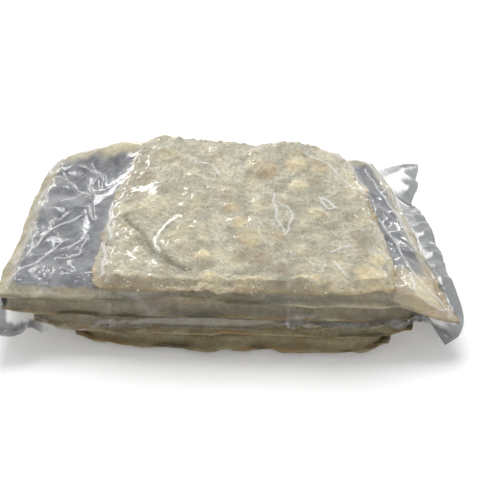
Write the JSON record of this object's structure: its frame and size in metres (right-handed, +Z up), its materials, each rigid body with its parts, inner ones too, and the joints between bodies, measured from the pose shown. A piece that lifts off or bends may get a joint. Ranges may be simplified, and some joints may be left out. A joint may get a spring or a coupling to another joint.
{
  "type": "vacuum packed salted dried cod",
  "caption": "Stack of salted dried cod pieces in a clear vacuum bag, with stepped layers, folded side walls and flat end fins.",
  "frame": {"origin": "middle of the pack's bounding box in plan, on the surface that the pack lies on", "axes": "+X along the pack towards its wide end fin, +Y towards its back wall, +Z up"},
  "size_m": [0.315, 0.2018, 0.0703],
  "materials": {
    "bag_film": "clear gloss film over the fish",
    "cod_flesh": "moist salted flesh",
    "cod_skin": "moist grey fish skin",
    "salt": "coarse salt grains"
  },
  "bodies": {
    "root": {"sealed_bag": "bag_film"}
  },
  "joints": []
}
